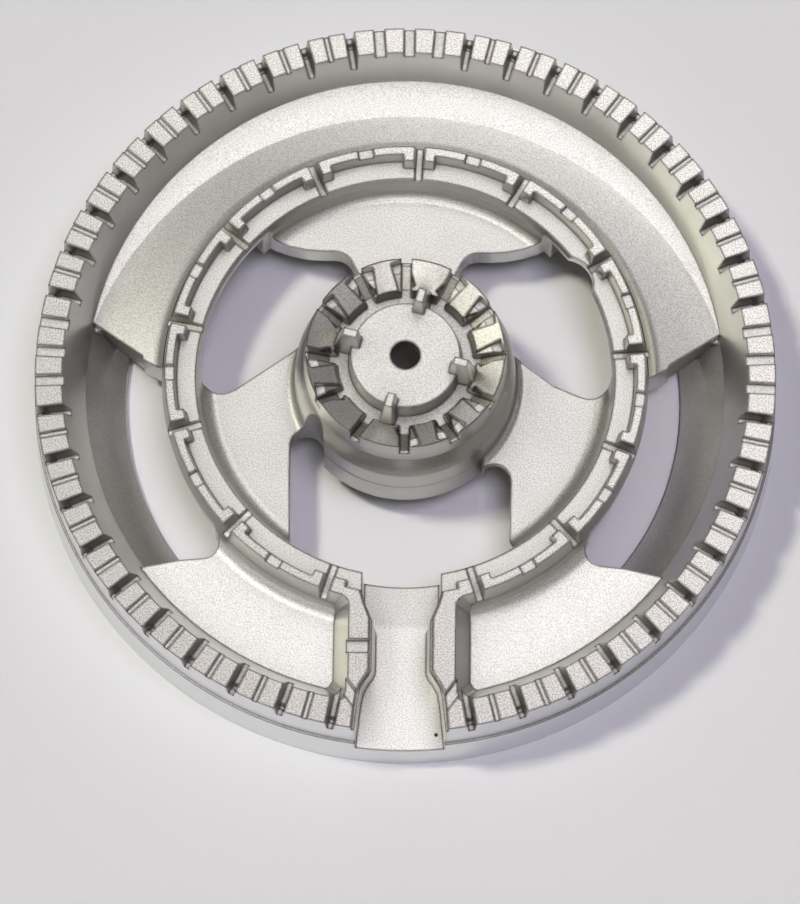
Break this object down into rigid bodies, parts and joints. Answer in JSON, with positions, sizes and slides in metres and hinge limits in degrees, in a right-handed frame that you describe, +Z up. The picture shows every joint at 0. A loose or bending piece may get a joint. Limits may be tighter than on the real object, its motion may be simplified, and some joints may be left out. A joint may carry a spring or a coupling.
{
  "type": "cast triple ring gas burner body",
  "caption": "Round die-cast gas burner body with a toothed outer rim, a slotted middle ring, a raised slotted crown with a central bore, and an open radial channel.",
  "frame": {"origin": "common axis of rim, ring and crown, in the plane of the foot", "axes": "+Z up along the axis, channel opens towards -Y, +X to the right seen from above with the channel towards the viewer"},
  "size_m": [0.1326, 0.1326, 0.0305],
  "materials": {
    "cast_aluminium": "bare, shot-blasted as cast"
  },
  "bodies": {
    "root": {"burner_casting": "cast_aluminium"}
  },
  "joints": []
}
